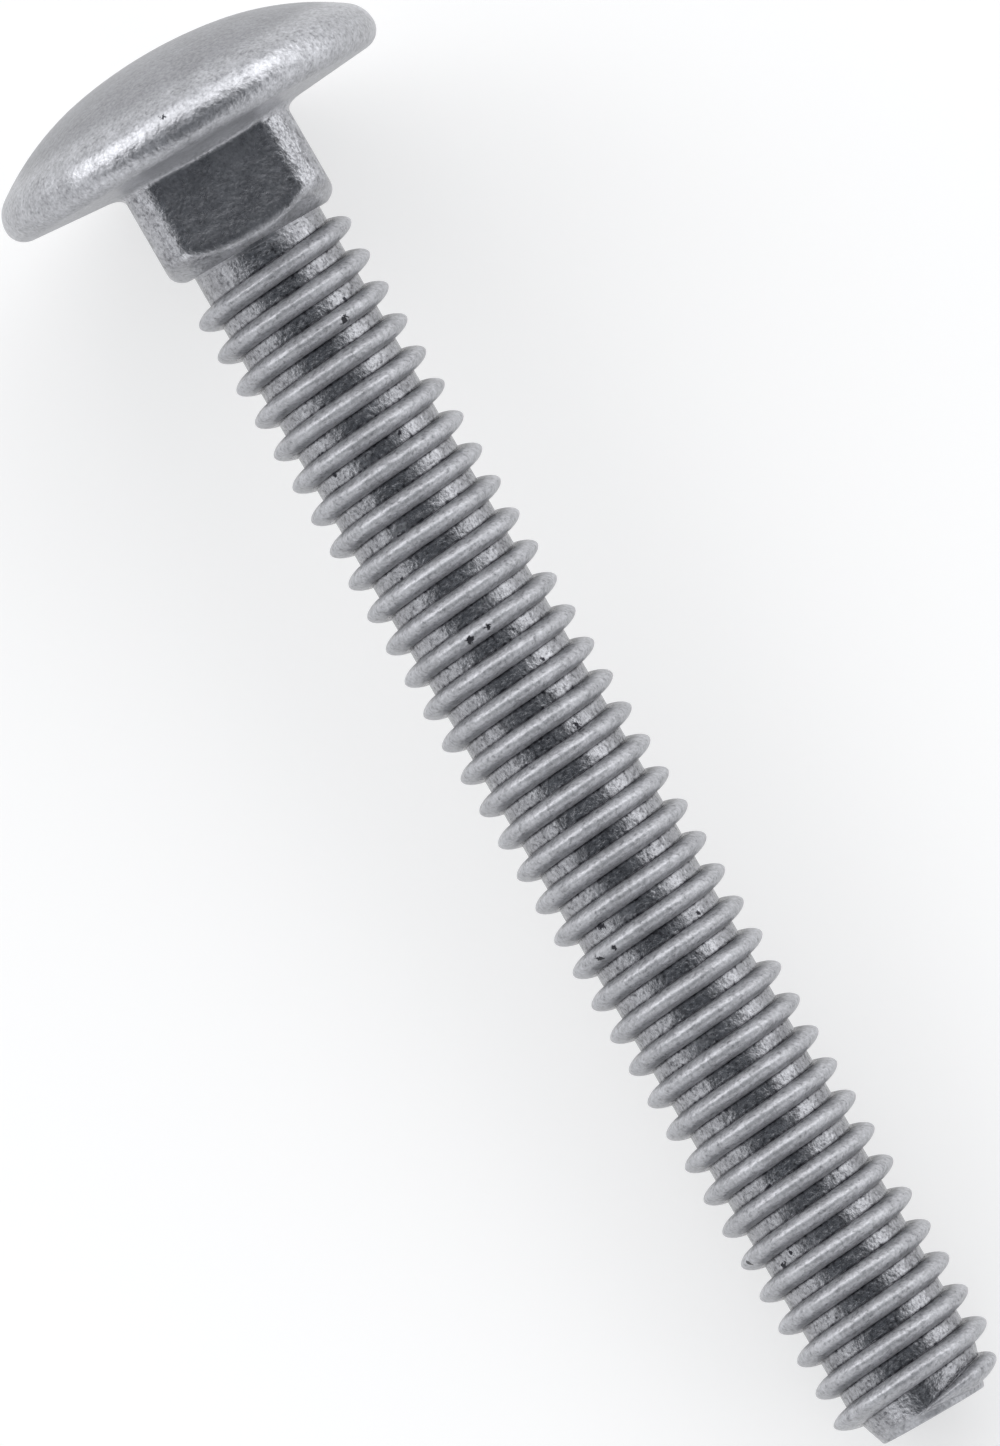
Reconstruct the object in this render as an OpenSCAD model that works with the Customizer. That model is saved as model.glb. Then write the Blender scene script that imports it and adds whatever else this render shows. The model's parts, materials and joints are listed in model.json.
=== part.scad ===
// Carriage bolt: a domed round head, a square neck that locks it in wood, and a rolled
// coarse thread along the whole shank. It is forged and rolled from one piece of steel.
// It is modelled along its own axis, Z, with the underside of the head meeting the neck at
// z = 0, the dome below that and the tip above. Then it is laid on its side, so that the
// rim of the head and the thread near the tip touch the ground at z = 0.

/* [Head] */
// Diameter of the head
head_d = 14.43; // [13.5:0.01:16]
// Height of the dome, from its widest circle to its top
dome_h = 2.86; // [2.4:0.01:3.2]
// Angle from the axis at which the flat crown passes into the rounder shoulder
crown_turn = 9.7; // [8:0.1:14]
// Angle from the axis at which the shoulder passes into the rim
shoulder_turn = 35.4; // [32:0.1:40]
// Radius of the rim on its dome side
rim_r = 1.14; // [0.8:0.01:1.4]
// Radius of the rim on its underside
rim_under_r = 0.7; // [0.4:0.01:0.9]
// Slope of the underside, which falls towards the neck
underside_slope = 4.9; // [0:0.1:8]

/* [Square neck] */
// Width of the neck across its flats
neck_w = 6.4; // [6:0.01:7.2]
// Length of the neck below the head
neck_l = 3.58; // [3:0.01:4.5]
// Diameter of the round stock that is left at the neck's long corners
neck_across = 7.84; // [7.2:0.01:8.4]
// Diameter of the flat ring at the neck's lower end
neck_end_d = 5.55; // [5.2:0.01:5.8]
// Angle to the axis of the cone that cuts back the neck's lower corners
neck_cone = 60; // [45:1:65]

/* [Thread] */
// Length of the bolt below its head
length = 49.62; // [30:0.01:80]
// Diameter over the crests of the thread
thread_d = 6.306; // [6:0.001:6.5]
// Diameter at the root of the thread
root_d = 4.904; // [4.7:0.001:5.1]
// Distance from one turn to the next
pitch = 1.27; // [1.1:0.01:1.6]
// Width of the ridge at its foot
ridge_w = 0.766; // [0.65:0.001:0.95]
// Distance below the head at which the ridge begins to rise
thread_start = 3.87; // [3.6:0.01:8]
// Distance before the flat end at which the ridge has run out
thread_stop = 0.29; // [0.1:0.01:0.6]
// Angle round the bolt over which the ridge rises to its full height
run_in = 150; // [60:1:300]
// Angle round the bolt over which the ridge runs out
run_out = 66; // [40:1:300]
// Flat faces in each turn
turn_steps = 24; // [16:1:28]

/* [Tip] */
// Length of the coned point
point_l = 1.43; // [0.8:0.01:2]
// Diameter of the flat end
point_d = 3.94; // [3.4:0.01:4.4]
// Length before the flat end over which the crests fall away
crest_fall_l = 1.29; // [0.8:0.01:1.8]
// Angle to the axis at which the crests fall away
crest_fall = 27.6; // [20:0.1:35]

/* [Hidden] */
$fn = 96;
// Angle by which neighbouring slices of an outline overlap
lap = 4;

// The dome's outline is a chain of arcs that pass smoothly into each other: the crown, the
// shoulder and the rim. Each arc ends at its angle from the axis. How far the crown and the
// shoulder reach outwards and downwards gives two linear equations for their radii.
reach_out = head_d/2 - rim_r*(1 - sin(shoulder_turn));
reach_down = dome_h - rim_r*cos(shoulder_turn);
crown_out = sin(crown_turn);
crown_down = 1 - cos(crown_turn);
shoulder_out = sin(shoulder_turn) - sin(crown_turn);
shoulder_down = cos(crown_turn) - cos(shoulder_turn);
both = crown_out*shoulder_down - crown_down*shoulder_out;
crown_r = (reach_out*shoulder_down - reach_down*shoulder_out)/both;
shoulder_r = (crown_out*reach_down - crown_down*reach_out)/both;

// Direction in the outline's plane, from straight up the dome (0) round to the shank (180)
function towards(angle) = [sin(angle), -cos(angle)];

// The underside touches the rim's lower arc, which sets how far below the neck the rim is
under_x = head_d/2 - rim_under_r;
under_touch = towards(180 - underside_slope)*rim_under_r;
rim_z = -(under_x + under_touch.x - neck_w/2)*tan(underside_slope) - under_touch.y;
crown_centre = [0, rim_z - dome_h + crown_r];
shoulder_centre = crown_centre + (crown_r - shoulder_r)*towards(crown_turn);
rim_centre = [head_d/2 - rim_r, rim_z];
under_centre = [under_x, rim_z];

// Slice of a disc between two directions. It reaches back a little into the slice before it.
module slice(centre, r, from, to) {
    intersection() {
        translate(centre) circle(r);
        polygon([centre, centre + 2*r*towards(from - lap), centre + 2*r*towards(to)]);
    }
}

module head_outline() {
    intersection() {
        union() {
            slice(crown_centre, crown_r, 0, crown_turn);
            slice(shoulder_centre, shoulder_r, crown_turn, shoulder_turn);
            slice(rim_centre, rim_r, shoulder_turn, 90);
        }
        polygon([[0, -head_d], [head_d, -head_d], [head_d, rim_z], [0, rim_z]]);
    }
    slice(under_centre, rim_under_r, 90, 180 - underside_slope);
    polygon([[0, rim_z - rim_r], under_centre, under_centre + under_touch,
             [0, neck_w/2*tan(underside_slope)]]);
}

module head() {
    rotate_extrude() head_outline();
}

// Four flats pressed on a round shaft, whose lower end is a cone
module neck() {
    across_r = neck_across/2;
    cone_top = neck_l - (across_r - neck_end_d/2)/tan(neck_cone);
    intersection() {
        translate([-neck_w/2, -neck_w/2, rim_z]) cube([neck_w, neck_w, neck_l - rim_z]);
        rotate_extrude() polygon([[0, rim_z], [across_r, rim_z], [across_r, cone_top],
                                  [neck_end_d/2, neck_l], [0, neck_l]]);
    }
}

// Section of the ridge, in halves of its width and shares of its height
ridge_section = [[-1, 0], [-0.79, 0.6], [-0.28, 1], [0.28, 1], [0.79, 0.6], [1, 0]];
section_n = len(ridge_section);

// The shank starts inside the neck and ends at the flat end
shank_bottom = neck_l/2;
point_z = length - point_l;
crest_fall_z = length - crest_fall_l;
ridge_stop_z = length - thread_stop;
first_turn = -ceil((thread_start - shank_bottom)/pitch) - 1;
last_turn = ceil((length - thread_start)/pitch) + 1;
rows_n = (last_turn - first_turn + 1)*section_n;

function share(x) = min(max(x, 0), 1);

function core_r(z) = root_d/2 - (root_d - point_d)/2*share((z - point_z)/point_l);

function crest_r(z) = thread_d/2 - max(z - crest_fall_z, 0)*tan(crest_fall);

// Share of the ridge's width and height that is there where its middle has climbed to z
function grown(z) =
    share((z - thread_start)/pitch*360/run_in)
    *share((ridge_stop_z - z)/pitch*360/run_out);

// Point of the threaded surface at an angle step, a turn and a corner of the ridge's section.
// The ridge starts on the bolt's left side, and climbs a pitch in each turn.
function thread_point(step, turn, corner) =
    let (turned = (step + 0.5)/turn_steps,
         angle = turned*360 - 90,
         middle = thread_start + (turn + turned)*pitch,
         z = middle + corner[0]*grown(middle)*ridge_w/2,
         ridge_h = grown(middle)*(crest_r(middle) - core_r(middle)),
         height = max(shank_bottom, min(length, z)),
         r = core_r(height) + (height == z ? corner[1]*ridge_h : 0))
    [r*cos(angle), r*sin(angle), height];

thread_points = [for (step = [0:turn_steps - 1], turn = [first_turn:last_turn], corner = ridge_section)
                 thread_point(step, turn, corner)];

// Number of a point. The column after the last one is the first column, one turn higher.
function place(step, row) =
    step < turn_steps ? step*rows_n + min(row, rows_n - 1)
                      : min(row + section_n, rows_n - 1);

function apart(face) =
    let (p = [for (i = face) thread_points[i]])
    p[0] != p[1] && p[1] != p[2] && p[2] != p[0];

thread_faces = [for (step = [0:turn_steps - 1], row = [0:rows_n - 2])
                let (a = place(step, row), b = place(step + 1, row),
                     c = place(step + 1, row + 1), d = place(step, row + 1))
                each [for (face = [[a, d, c], [a, c, b]]) if (apart(face)) face]];

// The threaded shank: on every angle step the surface is a column of points, which follows
// the root and climbs over each turn of the ridge
module shank() {
    polyhedron(thread_points,
               concat(thread_faces,
                      [[for (step = [0:turn_steps - 1]) place(step, 0)],
                       [for (step = [turn_steps - 1:-1:0]) place(step, rows_n - 1)]]));
}

// The bolt leans towards its tip until a crest meets the ground that its rim stands on.
// Each point of the thread would meet it at its own angle, and the first to do so counts.
function lean(p) =
    let (above = under_x - p.x, along = p.z - rim_z)
    atan2(above, along) + asin(rim_under_r/norm([above, along]));

tilt = min([for (p = thread_points) lean(p)]);
lift = under_x*cos(tilt) + rim_z*sin(tilt) + rim_under_r;
head_reach = crown_r - crown_centre.y*cos(tilt);
tip_reach = length*cos(tilt) + point_d/2*sin(tilt);

module carriage_bolt() {
    color([0.62, 0.62, 0.64])
    translate([(head_reach - tip_reach)/2, 0, lift]) rotate([0, 90 + tilt, 0]) {
        head();
        neck();
        shank();
    }
}

carriage_bolt();
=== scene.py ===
"""A hot-dip galvanised carriage bolt, lying on a pale floor and seen from straight above its side.

The bolt is one skin, worked out on a grid whose two parameters are the angle round the bolt's
axis and the row along its outline, from the top of the dome to the middle of the flat end.
Lengths in the outline are in millimetres, as on the bolt's drawing, and MM makes them metres.
"""
import json
import math

import bmesh
import bpy
import numpy as np
from mathutils import Matrix, Vector


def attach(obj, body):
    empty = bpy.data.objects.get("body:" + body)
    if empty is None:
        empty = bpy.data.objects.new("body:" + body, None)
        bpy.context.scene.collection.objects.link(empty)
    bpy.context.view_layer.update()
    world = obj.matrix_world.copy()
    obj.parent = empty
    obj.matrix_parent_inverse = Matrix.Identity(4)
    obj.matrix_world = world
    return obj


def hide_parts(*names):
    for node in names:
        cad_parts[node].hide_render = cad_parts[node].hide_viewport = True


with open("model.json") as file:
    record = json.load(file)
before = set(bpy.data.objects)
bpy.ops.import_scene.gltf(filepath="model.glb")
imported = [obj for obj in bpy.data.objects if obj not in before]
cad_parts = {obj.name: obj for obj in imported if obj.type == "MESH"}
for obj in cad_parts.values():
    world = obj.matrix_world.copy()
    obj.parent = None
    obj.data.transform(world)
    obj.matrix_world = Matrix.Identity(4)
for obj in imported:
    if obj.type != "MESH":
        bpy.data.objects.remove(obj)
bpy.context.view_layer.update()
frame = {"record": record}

MM = 0.001

# The bolt's own frame: z runs along its axis from the underside of the head to the tip,
# "up" is the side that faces away from the floor, and "right" is the part's +Y
seat = next(m for m in frame["record"]["mounts"] if m["name"] == "head_seat")
ORIGIN = np.array(seat["pos_m"])
ALONG = np.array(seat["axis"]) / np.linalg.norm(seat["axis"])
RIGHT = np.array([0.0, 1.0, 0.0])
UP = np.cross(ALONG, RIGHT)

# Head
HEAD_R = 7.215
DOME_H = 2.86
CROWN_TURN = math.radians(9.7)
SHOULDER_TURN = math.radians(35.4)
RIM_R = 1.14
RIM_UNDER_R = 0.7
UNDERSIDE_SLOPE = math.radians(4.9)

# Square neck. The edge is the width over which a flat passes into a long corner.
NECK_HALF = 3.2
NECK_CORNER_R = 3.92
NECK_EDGE = 0.1
NECK_L = 3.58
NECK_END_R = 2.775
NECK_CONE = math.radians(60)

# Thread. Turns are counted from the bolt's left side, where the ridge starts. It runs out
# between two angles, in degrees past the last place where it comes round the right side.
LENGTH = 49.62
CREST_R = 3.153
ROOT_R = 2.452
PITCH = 1.27
RIDGE_HALF = 0.383
RIDGE_ROUND = 1.85
RIDGE_POWER = 0.584
THREAD_START = 3.87
RUN_IN = 150 / 360
LAST_RIGHT = 35.5
RUN_OUT_FROM = 40
RUN_OUT_TO = 106
RUN_OUT_POWER = 1.2

# Tip
POINT_L = 1.43
POINT_R = 1.97
CREST_FALL_L = 1.29
CREST_FALL = math.radians(27.6)

# Fillets, as the distances from a corner of the outline at which the curve leaves the straight
# before it and joins the straight after it
HEAD_FILLET = (0.6, 0.32)
NECK_FILLET = (0.33, 0.33)
NECK_END_FILLET = (0.07, 0.07)
SHANK_FILLET = (0.04, 0.04)
TIP_FILLET = (0.08, 0.08)

# The grid: its columns round the bolt, to which one more is added that closes the seam, the
# steps across a ridge, and the rows of the root as shares of the gap between two ridges. The
# thread's rows lie between the shank's plain start and the rounded edge of the flat end.
COLUMNS = 96
RIDGE_STEPS = 14
ROOT_ROWS = np.array([0.05, 0.16, 0.38, 0.62, 0.84, 0.95])
THREAD_FROM_Z = NECK_L + 0.16
THREAD_TO_Z = LENGTH - 0.12

# The painted shade in the crease at the foot of a ridge: how far it reaches over the root and up
# the flank that faces the tip, how far up the flank that faces the head, and what it loses at the
# tip
CREASE_SHADE_W = 0.043
FLANK_SHADE_W = 0.36
TIP_SHADE_Z = (LENGTH - 1.2, LENGTH - 0.9)
TIP_SHADE_LOSS = 0.35

# What the zinc is like, as (dull, satin, cast, dark): dull zinc has lost part of its metal
# shine, satin zinc blurs what it mirrors, and cast zinc is rippled and flecked. Dark darkens
# the zinc's colour: each kind gives its own value, a little below 0 on the pale ridges, and
# the painted shade of a crease raises it to 1 there.
CROWN_SKIN = np.array([0.15, 1.0, 0.1, 0.37])
RIM_SKIN = np.array([0.12, 0.66, 0.75, 0.0])
UNDER_SKIN = np.array([0.85, 0.8, 0.4, 0.0])
FLAT_SKIN = np.array([0.1, 0.42, 0.4, 0.3])
CORNER_SKIN = np.array([0.1, 0.12, 1.05, 0.17])
NECK_END_SKIN = np.array([0.85, 0.6, 0.8, 0.0])
ROOT_SKIN = np.array([0.0, 0.28, 1.0, 0.3])
RIDGE_SKIN = np.array([0.9, 0.55, 0.95, -0.03])

# Where one kind of zinc passes into the next, as (start, end) of the distance from the axis (R)
# or of the place along it (Z), or as shares of the ridge's height and of its growth
CROWN_TO_RIM_R = (5.6, 6.55)
RIM_TO_UNDER_Z = (-0.62, -0.4)
UNDER_TO_NECK_Z = (0.02, 0.17)
FLAT_TO_CORNER_R = (3.7, 3.9)
NECK_TO_END_Z = (NECK_L - 0.5, NECK_L - 0.2)
NECK_TO_END_R = (ROOT_R, NECK_END_R)
THREAD_TO_END_Z = (LENGTH - 0.5, LENGTH - 0.2)
ROOT_TO_RIDGE = (0, 0.45)
GROWN_RIDGE = (0, 0.3)
# How the painted crease shade comes in as the ridge grows
GROWN_SHADE = (0, 0.5)


def to_world(points):
    """Places points given as (along, up, right) in millimetres in the part's frame, in metres."""
    return ORIGIN + MM * (points @ np.array([ALONG, UP, RIGHT]))


def smooth_step(low, high, value):
    """Rises from 0 at low to 1 at high on the curve 3t^2 - 2t^3."""
    t = np.clip((value - low) / (high - low), 0, 1)
    return t * t * (3 - 2 * t)


def blend(first, second, share):
    """Passes from the first value to the second one as the share goes from 0 to 1."""
    return first * (1 - share) + second * share


def ring(radius, z):
    """One row of the grid, as (radius, z) in each column. Both may vary from column to column."""
    even = np.zeros(COLUMNS + 1)
    return np.stack([even + radius, even + z], 1)


def head_outline():
    """Outline of the dome and rim, as (radius, z): a chain of four arcs, each starting where
    the last one ends and in the same direction. Along an arc of radius R whose direction turns
    from a to t, a point moves by R (sin t - sin a, cos a - cos t). The crown's and the
    shoulder's radii solve two linear equations for how far out and down the dome reaches."""
    out = HEAD_R - RIM_R * (1 - math.sin(SHOULDER_TURN))
    down = DOME_H - RIM_R * math.cos(SHOULDER_TURN)
    crown_step = (math.sin(CROWN_TURN), 1 - math.cos(CROWN_TURN))
    shoulder_step = (
        math.sin(SHOULDER_TURN) - math.sin(CROWN_TURN),
        math.cos(CROWN_TURN) - math.cos(SHOULDER_TURN),
    )
    crown_r, shoulder_r = np.linalg.solve(
        np.array([crown_step, shoulder_step]).T, np.array([out, down])
    )
    # Each arc is its radius, the directions in which it starts and ends, and its rows
    arcs = [
        (crown_r, 0, CROWN_TURN, 10),
        (shoulder_r, CROWN_TURN, SHOULDER_TURN, 16),
        (RIM_R, SHOULDER_TURN, math.pi / 2, 18),
        (RIM_UNDER_R, math.pi / 2, math.pi - UNDERSIDE_SLOPE, 16),
    ]
    rows = [np.zeros((1, 2))]
    for radius, start, end, steps in arcs:
        turn = np.linspace(start, end, steps + 1)[1:]
        step = np.stack([np.sin(turn) - math.sin(start), math.cos(start) - np.cos(turn)], 1)
        rows.append(rows[-1][-1] + radius * step)
    outline = np.concatenate(rows)
    rim_end = outline[-1]
    neck_gap = (rim_end[0] - NECK_HALF) * math.tan(UNDERSIDE_SLOPE)
    outline[:, 1] -= rim_end[1] + neck_gap
    return outline


def eased_path(corners, fillets, steps):
    """A path through corners (K, columns, 2), each rounded by a quadratic curve that leaves the
    straight line before the corner and joins the next one after it, at the two distances that
    its fillet gives. The steps are those of the straight before each corner and the rows of
    its curve, and last those of the straight to the end."""
    rows = [corners[0][None]]
    for k in range(1, len(corners) - 1):
        before = corners[k - 1] - corners[k]
        after = corners[k + 1] - corners[k]
        before /= np.linalg.norm(before, axis=1, keepdims=True)
        after /= np.linalg.norm(after, axis=1, keepdims=True)
        leave, join = fillets[k - 1]
        start, end = corners[k] + leave * before, corners[k] + join * after
        straight = np.linspace(0, 1, steps[k - 1][0] + 1)[1:-1, None, None]
        t = np.linspace(0, 1, steps[k - 1][1])[:, None, None]
        rows.append(blend(rows[-1][-1], start, straight))
        rows.append(start * (1 - t) ** 2 + corners[k] * 2 * t * (1 - t) + end * t**2)
    straight = np.linspace(0, 1, steps[-1][0] + 1)[1:, None, None]
    rows.append(blend(rows[-1][-1], corners[-1], straight))
    return np.concatenate(rows)


def neck_radius(angle):
    """Radius of the neck's section at an angle: the nearest flat, or the round corner if that
    is nearer, passing into each other over a narrow edge."""
    flat = NECK_HALF / np.maximum(np.abs(np.cos(angle)), np.abs(np.sin(angle)))
    apart = np.sqrt((flat - NECK_CORNER_R) ** 2 + NECK_EDGE**2)
    return 0.5 * (flat + NECK_CORNER_R - apart)


def neck_rows(rim_end, angle):
    """Rows from the end of the rim to the first row of the thread: the underside, the neck's
    sides, the cone that cuts back their lower end, the neck's flat ring and the plain shank."""
    neck = neck_radius(angle)
    wall_z = -(neck - NECK_HALF) * math.tan(UNDERSIDE_SLOPE)
    cone_z = NECK_L - (neck - NECK_END_R) / math.tan(NECK_CONE)
    return eased_path(
        np.stack([
            rim_end,
            ring(neck, wall_z),
            ring(neck, cone_z),
            ring(NECK_END_R, NECK_L),
            ring(ROOT_R, NECK_L),
            ring(ROOT_R, THREAD_FROM_Z),
        ]),
        [HEAD_FILLET, NECK_FILLET, NECK_END_FILLET, SHANK_FILLET],
        [(10, 16), (14, 14), (3, 6), (3, 4), (3,)],
    )[1:]


def core_radius(z):
    """The shank without its thread: a cylinder, then a cone to the flat end."""
    return ROOT_R - (ROOT_R - POINT_R) * np.clip((z - (LENGTH - POINT_L)) / POINT_L, 0, 1)


def run_out(turned):
    """Share of the ridge that is left near the tip: (1 - t)^1.2, where t goes from 0 to 1 over
    the angle in which the ridge runs out."""
    degrees = (turned - LAST_RIGHT) * 360
    left = np.clip((RUN_OUT_TO - degrees) / (RUN_OUT_TO - RUN_OUT_FROM), 0, 1)
    return left**RUN_OUT_POWER


def grown(turned):
    """Share of the ridge that is there after so many turns: it rises smoothly over the run-in,
    and falls where it runs out."""
    return smooth_step(0, RUN_IN, turned) * run_out(turned)


def thread_rows(angle_share):
    """Rows of the thread as (radius, z), how far up the ridge each point is, and the painted shade
    of its crease.
    A ridge's middle climbs one pitch a turn. Across it the height falls as (1 - |x|^1.85)^0.584,
    where x is the share of its half width, and its rows stand at x = sin(b) for evenly spaced b.
    Both its width and its height shrink where it runs out. The painted shade of the crease is 1 at
    the ridge's foot and falls as exp(-(d / w)^2) with the distance d from it, slower on the flank
    towards the head, and with the ridge itself. Rows beyond the thread's ends are held at the ends."""
    turns = np.arange(-2, math.ceil((LENGTH - THREAD_START) / PITCH) + 2)
    turned = turns[:, None, None] + angle_share[None, None, :]
    middle = THREAD_START + turned * PITCH
    growth, next_growth = grown(turned), grown(turned + 1)

    x = np.sin(np.linspace(-np.pi / 2, np.pi / 2, RIDGE_STEPS + 1))[None, :, None]
    share = np.clip(1 - np.abs(x) ** RIDGE_ROUND, 0, 1) ** RIDGE_POWER
    width = RIDGE_HALF * run_out(turned)
    crest = CREST_R - np.maximum(middle - (LENGTH - CREST_FALL_L), 0) * math.tan(CREST_FALL)
    height = (crest - core_radius(middle)) * growth
    # Painted shade in the crease: on the ridge's flanks, then on the root beside each foot
    up_flank = share * (CREST_R - ROOT_R) / np.where(x < 0, FLANK_SHADE_W, CREASE_SHADE_W)
    ridge_shade = np.exp(-(up_flank**2)) * smooth_step(*GROWN_SHADE, growth)

    between = ROOT_ROWS[None, :, None]
    gap = PITCH - width - RIDGE_HALF * run_out(turned + 1)
    root_z = middle + width + gap * between
    off_foot = gap * np.minimum(between, 1 - between) / CREASE_SHADE_W
    nearest_growth = np.where(between < 0.5, growth, next_growth)
    root_shade = np.exp(-(off_foot**2)) * smooth_step(*GROWN_SHADE, nearest_growth)

    z = np.concatenate([middle + x * width, root_z], 1)
    lift = np.concatenate([share * height, 0 * root_z], 1)
    raised = np.concatenate([share * smooth_step(*GROWN_RIDGE, growth), 0 * root_z], 1)
    crease_shade = np.concatenate([ridge_shade, root_shade], 1)
    z, lift, raised, crease_shade = (v.reshape(-1, COLUMNS + 1) for v in (z, lift, raised, crease_shade))
    held = np.clip(z, THREAD_FROM_Z, THREAD_TO_Z)
    inside = held == z
    radius = core_radius(held) + np.where(inside, lift, 0)
    # The painted crease shade stops beyond the thread's ends and is lighter near the tip
    crease_shade *= inside * (1 - TIP_SHADE_LOSS * smooth_step(*TIP_SHADE_Z, held))
    return np.stack([radius, held], 2), raised * inside, crease_shade


def end_rows():
    """Rows of the tip's rounded edge and its flat end."""
    return eased_path(
        np.stack([
            ring(core_radius(THREAD_TO_Z), THREAD_TO_Z),
            ring(POINT_R, LENGTH),
            ring(0.0, LENGTH),
        ]),
        [TIP_FILLET],
        [(2, 6), (8,)],
    )


def head_skin(rows):
    """What the zinc is like on the crown, then the rim, then the underside."""
    to_rim = smooth_step(*CROWN_TO_RIM_R, rows[..., :1])
    to_under = smooth_step(*RIM_TO_UNDER_Z, rows[..., 1:])
    return blend(blend(CROWN_SKIN, RIM_SKIN, to_rim), UNDER_SKIN, to_under)


def neck_skin(rows):
    """What the zinc is like on the underside, then the neck's flats and corners, then its end."""
    radius, z = rows[..., :1], rows[..., 1:]
    to_corner = smooth_step(*FLAT_TO_CORNER_R, radius)
    to_end = smooth_step(*NECK_TO_END_Z, z) * smooth_step(*NECK_TO_END_R, radius)
    to_neck = smooth_step(*UNDER_TO_NECK_Z, z)
    sides = blend(FLAT_SKIN, CORNER_SKIN, to_corner)
    return blend(UNDER_SKIN, blend(sides, NECK_END_SKIN, to_end), to_neck)


def thread_skin(rows, raised, crease_shade):
    """What the zinc is like on the roots and ridges, with painted shade in a crease, then near the
    end.
    """
    on_ridge = smooth_step(*ROOT_TO_RIDGE, raised[..., None])
    skin = blend(ROOT_SKIN, RIDGE_SKIN, on_ridge)
    # The painted shade of a crease pulls the dark channel up towards 1
    skin[..., 3] = crease_shade + (1 - crease_shade) * skin[..., 3]
    to_end = smooth_step(*THREAD_TO_END_Z, rows[..., 1:])
    return blend(skin, RIDGE_SKIN, to_end)


def bolt_grid():
    """The whole skin as (rows, columns, 6), which are radius, z and what the zinc is like
    there, and the columns' angles. The angle is 0 on the left side and grows over the bolt's
    back, so that the thread is right-handed."""
    angle_share = np.arange(COLUMNS + 1) / COLUMNS
    angle = angle_share * 2 * np.pi
    head = head_outline()[:, None, :] + ring(0, 0)
    neck = neck_rows(head[-1], angle)
    thread, raised, crease_shade = thread_rows(angle_share)
    end = end_rows()
    grid = [
        np.concatenate([head, head_skin(head)], 2),
        np.concatenate([neck, neck_skin(neck)], 2),
        np.concatenate([thread, thread_skin(thread, raised, crease_shade)], 2),
        np.concatenate([end, RIDGE_SKIN + 0 * end[..., :1]], 2),
    ]
    return np.concatenate(grid), angle


def build_bolt():
    """Turns the grid into one closed mesh. Neighbouring rows and columns make the faces, and
    points that fall together, at the poles, the seam and the held rows, become one. What the
    zinc is like, with the painted shade of its creases, goes with the points as the attribute
    "zinc"."""
    rows, angle = bolt_grid()
    radius, z = rows[..., 0], rows[..., 1]
    points = np.stack([z, -radius * np.sin(angle), -radius * np.cos(angle)], 2)
    verts = to_world(points.reshape(-1, 3))
    count = rows.shape[1]
    first = (np.arange(rows.shape[0] - 1)[:, None] * count + np.arange(count - 1)).ravel()
    quads = np.stack([first, first + count, first + count + 1, first + 1], 1)
    mesh = bpy.data.meshes.new("bolt_skin")
    mesh.from_pydata(verts.tolist(), [], quads.tolist())
    zinc = mesh.attributes.new("zinc", "FLOAT_COLOR", "POINT")
    zinc.data.foreach_set("color", rows[..., 2:].astype(np.float32).ravel())
    bm = bmesh.new()
    bm.from_mesh(mesh)
    bmesh.ops.remove_doubles(bm, verts=bm.verts, dist=2e-7)
    bmesh.ops.recalc_face_normals(bm, faces=bm.faces)
    for face in bm.faces:
        face.smooth = True
    bm.to_mesh(mesh)
    bm.free()
    mesh.update()
    bolt = bpy.data.objects.new("bolt_skin", mesh)
    bpy.context.collection.objects.link(bolt)
    return bolt


def node(tree, kind, inputs=None, **settings):
    """Adds a node, sets its own settings, and fills its inputs with values or links."""
    made = tree.nodes.new(kind)
    for name, value in settings.items():
        setattr(made, name, value)
    for key, value in (inputs or {}).items():
        if isinstance(value, bpy.types.NodeSocket):
            tree.links.new(value, made.inputs[key])
        else:
            made.inputs[key].default_value = value
    return made


def math_node(tree, operation, a, b=0.0, c=0.0):
    """Adds a Math node, and gives its result."""
    return node(tree, "ShaderNodeMath", {0: a, 1: b, 2: c}, operation=operation).outputs[0]


def new_group(name, inputs, outputs):
    """A shader node group with named sockets. Inputs are {name: (kind, default)}."""
    group = bpy.data.node_groups.new(name, "ShaderNodeTree")
    for label, (kind, default) in inputs.items():
        socket = group.interface.new_socket(label, in_out="INPUT", socket_type=kind)
        if default is not None:
            socket.default_value = default
    for label, kind in outputs.items():
        group.interface.new_socket(label, in_out="OUTPUT", socket_type=kind)
    start = group.nodes.new("NodeGroupInput")
    end = group.nodes.new("NodeGroupOutput")
    return group, start.outputs, end.inputs


# The share of the grain in the zinc's tone, where clouds make up the rest, and the part of the
# finest noise over which a fleck rises
GRAIN_SHARE = 0.6
FLECK_FROM = 0.5
FLECK_TO = 0.7


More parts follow.
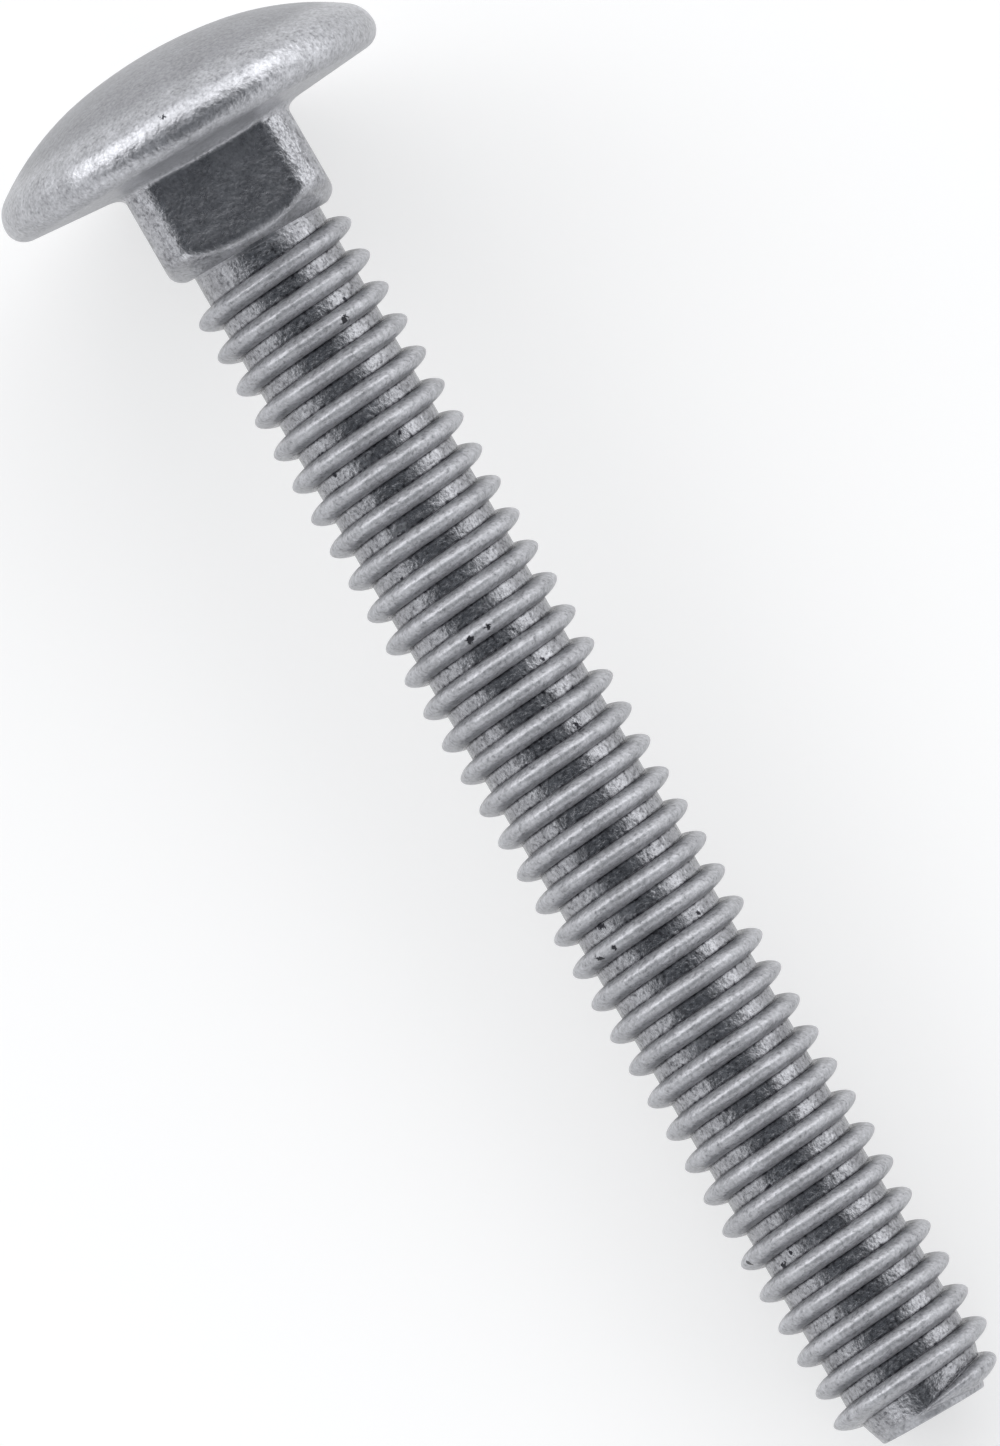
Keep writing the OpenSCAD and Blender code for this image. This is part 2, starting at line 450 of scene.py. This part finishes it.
def zinc_bloom():
    """The skin of dipped zinc, as noises of four sizes in metres. Tone is the fine frosted grain
    over soft clouds, Roughness the clouds, Grain and Wave the heights of the grain and of slow
    ripples, each about 0.5 in its middle. Flecks is 0, and rises to 1 in scattered specks."""
    group, given, out = new_group(
        "zinc_bloom",
        {
            "Vector": ("NodeSocketVector", None),
            "Grain size": ("NodeSocketFloat", 0.00012),
            "Wave size": ("NodeSocketFloat", 0.0004),
            "Cloud size": ("NodeSocketFloat", 0.0012),
            "Fleck size": ("NodeSocketFloat", 0.00014),
        },
        {
            "Tone": "NodeSocketFloat",
            "Roughness": "NodeSocketFloat",
            "Grain": "NodeSocketFloat",
            "Wave": "NodeSocketFloat",
            "Flecks": "NodeSocketFloat",
        },
    )

    def noise(size, detail):
        scale = math_node(group, "DIVIDE", 1.0, given[size])
        return node(group, "ShaderNodeTexNoise", {
            "Vector": given["Vector"], "Scale": scale, "Detail": detail, "Roughness": 0.6,
        }).outputs["Fac"]

    grain, wave, cloud = noise("Grain size", 2.0), noise("Wave size", 1.0), noise("Cloud size", 4.0)
    clouds = math_node(group, "MULTIPLY", cloud, 1 - GRAIN_SHARE)
    tone = math_node(group, "MULTIPLY_ADD", grain, GRAIN_SHARE, clouds)
    flecks = node(group, "ShaderNodeMapRange", {
        "Value": noise("Fleck size", 3.0), "From Min": FLECK_FROM, "From Max": FLECK_TO,
    }).outputs["Result"]
    group.links.new(tone, out["Tone"])
    group.links.new(cloud, out["Roughness"])
    group.links.new(grain, out["Grain"])
    group.links.new(wave, out["Wave"])
    group.links.new(flecks, out["Flecks"])
    return group


# Pits in the zinc that the photograph shows, as (along the axis, to the right, distance from
# the axis, size), in millimetres
PITS = [
    (-1.53, -0.65, 6.98, 0.15), (6.80, 1.61, 2.45, 0.12), (6.98, 1.76, 2.45, 0.14),
    (7.37, 1.27, 3.12, 0.21), (11.78, -1.65, 2.45, 0.16), (11.62, 0.95, 2.45, 0.12),
    (15.99, -1.51, 2.50, 0.16), (18.92, -0.49, 3.12, 0.20), (18.85, 0.26, 3.13, 0.15),
    (20.70, 1.31, 2.45, 0.12), (23.20, 1.21, 2.45, 0.22), (29.52, -1.50, 2.45, 0.22),
    (30.48, -2.09, 3.11, 0.20), (30.43, -1.46, 3.11, 0.15), (30.79, 1.61, 2.45, 0.15),
    (30.98, 1.61, 2.45, 0.12), (40.07, -0.95, 2.50, 0.16), (41.98, -2.87, 3.12, 0.18),
    (42.38, -1.47, 2.45, 0.13), (42.58, -1.89, 2.45, 0.20), (47.54, 1.27, 2.50, 0.12),
    (48.89, 1.48, 2.34, 0.16), (48.84, 1.77, 2.34, 0.12),
]
# How much the grain eats into a pit, and where that leaves the pit's edge and its full depth
PIT_RAGGED = 2.4
PIT_FROM = -1.0
PIT_TO = -0.75


def pit_mask(tree, coords, ragged):
    """1 in a pit and 0 outside it. A point's nearness to a pit is 1 at the pit's centre, 0 at
    its size, and no less than -1. The nearest pit counts, and a noise makes its edge ragged."""
    nearest = -1.0
    for along, right, from_axis, size in PITS:
        up = math.sqrt(from_axis**2 - right**2)
        centre = to_world(np.array([along, up, right]))
        away = node(tree, "ShaderNodeVectorMath", {0: coords, 1: centre}, operation="DISTANCE")
        away = math_node(tree, "DIVIDE", away.outputs["Value"], size * MM)
        nearness = math_node(tree, "SUBTRACT", 1.0, away)
        nearest = math_node(tree, "MAXIMUM", nearest, nearness)
    return node(tree, "ShaderNodeMapRange", {
        "Value": math_node(tree, "MULTIPLY_ADD", ragged, -PIT_RAGGED, nearest),
        "From Min": PIT_FROM, "From Max": PIT_TO,
    }).outputs["Result"]


# The tones between which the zinc goes from its deep colour to its pale one, both colours, and
# the darkest colour, towards which waves and flecks darken cast zinc, and which is also the
# painted shade of creases and pits
DEEP_TONE = 0.3
PALE_TONE = 0.7
DEEP_ZINC = (0.32, 0.322, 0.338, 1)
PALE_ZINC = (0.62, 0.625, 0.656, 1)
SHADE_AND_FLECK_COLOUR = (0.03, 0.03, 0.036, 1)
# How dark the painted shade of a crease is, and how much waves and flecks darken cast zinc
CREASE_SHADE_DEPTH = 0.92
WAVE_DARK = 0.6
FLECK_DARK = 0.5
# What dull zinc loses of its metal shine
DULL_LOSS = 0.7
# The roughness of the clearest zinc, and what clouds and satin zinc add to it
CLEAR_ROUGH = 0.08
CLOUD_ROUGH = 0.2
SATIN_ROUGH = 0.24
# The bump's height, the share of it that plain zinc has, what cast zinc adds, and how high a
# wave is beside the grain
BUMP_H = 0.03 * MM
PLAIN_BUMP = 0.5
CAST_BUMP = 0.25
WAVE_BUMP = 1.8


def dipped_zinc(bloom):
    """Hot-dip galvanised steel: grey metal, a little blue, with a grain, and painted shade in its
    creases and pits.
    """
    material = bpy.data.materials.new("dipped_zinc")
    material.use_nodes = True
    tree = material.node_tree
    shader = tree.nodes["Principled BSDF"]
    coords = tree.nodes.new("ShaderNodeTexCoord").outputs["Object"]
    zinc = node(tree, "ShaderNodeAttribute", attribute_name="zinc").outputs
    dull, satin, cast = node(tree, "ShaderNodeSeparateColor", {0: zinc["Color"]}).outputs
    skin = tree.nodes.new("ShaderNodeGroup")
    skin.node_tree = bloom
    tree.links.new(coords, skin.inputs["Vector"])

    ramp = node(tree, "ShaderNodeValToRGB", {"Fac": skin.outputs["Tone"]})
    ramp.color_ramp.elements[0].position = DEEP_TONE
    ramp.color_ramp.elements[0].color = DEEP_ZINC
    ramp.color_ramp.elements[1].position = PALE_TONE
    ramp.color_ramp.elements[1].color = PALE_ZINC
    patchy = math_node(tree, "MULTIPLY_ADD", skin.outputs["Wave"], WAVE_DARK, -WAVE_DARK / 2)
    patchy = math_node(tree, "MULTIPLY_ADD", skin.outputs["Flecks"], FLECK_DARK, patchy)
    # Painted shade: the dark channel, 1 in a crease, mixes the colour towards the darkest one
    dark = math_node(tree, "MULTIPLY", zinc["Alpha"], CREASE_SHADE_DEPTH)
    dark = math_node(tree, "MULTIPLY_ADD", patchy, cast, dark)
    # The pits take the darkest colour, as painted shade of their hollows
    dark = math_node(tree, "MAXIMUM", dark, pit_mask(tree, coords, skin.outputs["Grain"]))
    base = node(tree, "ShaderNodeMix", {
        0: dark, 6: ramp.outputs["Color"], 7: SHADE_AND_FLECK_COLOUR,
    }, data_type="RGBA").outputs[2]
    tree.links.new(base, shader.inputs["Base Color"])

    metallic = math_node(tree, "MULTIPLY_ADD", dull, -DULL_LOSS, 1.0)
    tree.links.new(metallic, shader.inputs["Metallic"])
    cloudy = math_node(tree, "MULTIPLY_ADD", skin.outputs["Roughness"], CLOUD_ROUGH, CLEAR_ROUGH)
    rough = math_node(tree, "MULTIPLY_ADD", satin, SATIN_ROUGH, cloudy)
    tree.links.new(rough, shader.inputs["Roughness"])
    shader.inputs["Specular IOR Level"].default_value = 0.3

    rippled = math_node(tree, "MULTIPLY_ADD", cast, CAST_BUMP, PLAIN_BUMP)
    ripple = math_node(tree, "MULTIPLY_ADD", skin.outputs["Wave"], WAVE_BUMP, skin.outputs["Grain"])
    bump = node(tree, "ShaderNodeBump", {
        "Height": math_node(tree, "MULTIPLY", ripple, rippled), "Strength": 1.0, "Distance": BUMP_H,
    })
    tree.links.new(bump.outputs["Normal"], shader.inputs["Normal"])
    return material


# The floor: half its width in metres, its grey, and the glow that lifts it, where 1 is white
FLOOR_HALF = 6.0
FLOOR_GREY = 0.55
FLOOR_GLOW = 0.5


def floor_material():
    """A pale floor. What the camera, gloss and glass see of it is lifted a little towards
    white."""
    material = bpy.data.materials.new("pale_floor")
    material.use_nodes = True
    tree = material.node_tree
    shader = tree.nodes["Principled BSDF"]
    shader.inputs["Base Color"].default_value = (FLOOR_GREY, FLOOR_GREY, FLOOR_GREY, 1)
    shader.inputs["Roughness"].default_value = 0.9
    shader.inputs["Specular IOR Level"].default_value = 0.0
    path = tree.nodes.new("ShaderNodeLightPath").outputs
    seen = math_node(tree, "MAXIMUM", path["Is Camera Ray"], path["Is Glossy Ray"])
    seen = math_node(tree, "MAXIMUM", seen, path["Is Transmission Ray"])
    shader.inputs["Emission Color"].default_value = (1, 1, 1, 1)
    tree.links.new(math_node(tree, "MULTIPLY", seen, FLOOR_GLOW), shader.inputs["Emission Strength"])
    return material


def add_floor():
    """The floor that the bolt lies on, at height 0."""
    mesh = bpy.data.meshes.new("floor")
    h = FLOOR_HALF
    mesh.from_pydata([(-h, -h, 0), (h, -h, 0), (h, h, 0), (-h, h, 0)], [], [(0, 1, 2, 3)])
    floor = bpy.data.objects.new("floor", mesh)
    bpy.context.collection.objects.link(floor)
    mesh.materials.append(floor_material())


# The photograph's frame: 1000 by 1446 pixels, 29.425 of them to a millimetre. Its middle is
# a point on the bolt, given along the axis and to the right, in millimetres. The bolt's axis
# leans 30 degrees from the upright of the picture. The lens and its sensor are in millimetres.
PIXELS_PER_MM = 29.425
PICTURE_LONG_SIDE = 1446
PICTURE_MIDDLE = (21.86, -1.016)
PICTURE_LEAN = math.radians(30)
LENS = 1000.0
SENSOR = 36.0


def add_camera():
    """The camera, which looks down on the bolt's side, square to its axis. It is as far off as
    its lens needs to see the photograph's frame."""
    data = bpy.data.cameras.new("camera")
    data.sensor_width = SENSOR
    data.lens = LENS
    data.clip_start = 0.01
    data.clip_end = 100.0
    camera = bpy.data.objects.new("camera", data)
    bpy.context.collection.objects.link(camera)
    distance = LENS / SENSOR * PICTURE_LONG_SIDE / PIXELS_PER_MM
    middle = to_world(np.array([PICTURE_MIDDLE[0], 0.0, PICTURE_MIDDLE[1]]))
    top = -math.cos(PICTURE_LEAN) * ALONG + math.sin(PICTURE_LEAN) * RIGHT
    side = math.sin(PICTURE_LEAN) * ALONG + math.cos(PICTURE_LEAN) * RIGHT
    turn = Matrix((side, top, UP)).transposed().to_4x4()
    camera.matrix_world = Matrix.Translation(Vector(middle + UP * distance * MM)) @ turn
    bpy.context.scene.camera = camera


# Soft patches of light round the bolt, as (degrees from straight above it, degrees round from
# its right side towards its head, tightness, level), in a dim bluish surround
DIM_SURROUND = (0.11, 0.12, 0.135)
SOFT_PATCHES = [
    (34, 90, 20, 0.9),
    (52, 45, 30, 1.5),
    (52, 90, 30, 0.85),
    (52, 135, 30, 1.3),
    (62, 8, 40, 0.6),
    (84, 0, 10, 1.75),
    (70, 45, 14, 2.2),
    (70, 90, 14, 1.6),
    (70, 135, 14, 2.8),
    (72, 180, 24, 1.2),
    (70, 225, 14, 1.6),
    (84, 270, 24, 1.5),
    (70, 315, 14, 1.5),
]


def add_world():
    """The soft light that the bolt lies in. Along a direction it is the dim surround plus, for
    each patch, level * e^(tightness * (cos a - 1)), where a is the angle to the patch's middle.
    The camera sees plain white."""
    world = bpy.data.worlds.new("tent")
    bpy.context.scene.world = world
    world.use_nodes = True
    tree = world.node_tree
    tree.nodes.clear()
    way = tree.nodes.new("ShaderNodeTexCoord").outputs["Generated"]
    light = Vector(DIM_SURROUND)
    for from_above, round_from_right, tightness, level in SOFT_PATCHES:
        down, turn = math.radians(from_above), math.radians(round_from_right)
        level_way = RIGHT * math.cos(turn) - ALONG * math.sin(turn)
        middle = Vector(UP * math.cos(down) + level_way * math.sin(down))
        facing = node(tree, "ShaderNodeVectorMath", {0: way, 1: middle}, operation="DOT_PRODUCT")
        fall = math_node(tree, "MULTIPLY_ADD", facing.outputs["Value"], tightness, -tightness)
        light = node(tree, "ShaderNodeVectorMath", {
            0: math_node(tree, "EXPONENT", fall), 1: Vector((level, level, level)), 2: light,
        }, operation="MULTIPLY_ADD").outputs["Vector"]
    seen = tree.nodes.new("ShaderNodeLightPath").outputs["Is Camera Ray"]
    colour = node(tree, "ShaderNodeMix", {
        0: seen, 6: light, 7: (1, 1, 1, 1),
    }, data_type="RGBA").outputs[2]
    shader = node(tree, "ShaderNodeBackground", {"Color": colour})
    out = tree.nodes.new("ShaderNodeOutputWorld")
    tree.links.new(shader.outputs[0], out.inputs["Surface"])


add_camera()
bolt = build_bolt()
bolt.data.materials.append(dipped_zinc(zinc_bloom()))
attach(bolt, "root")
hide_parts("carriage_bolt")
add_floor()
add_world()

bpy.context.scene.view_settings.view_transform = "Standard"
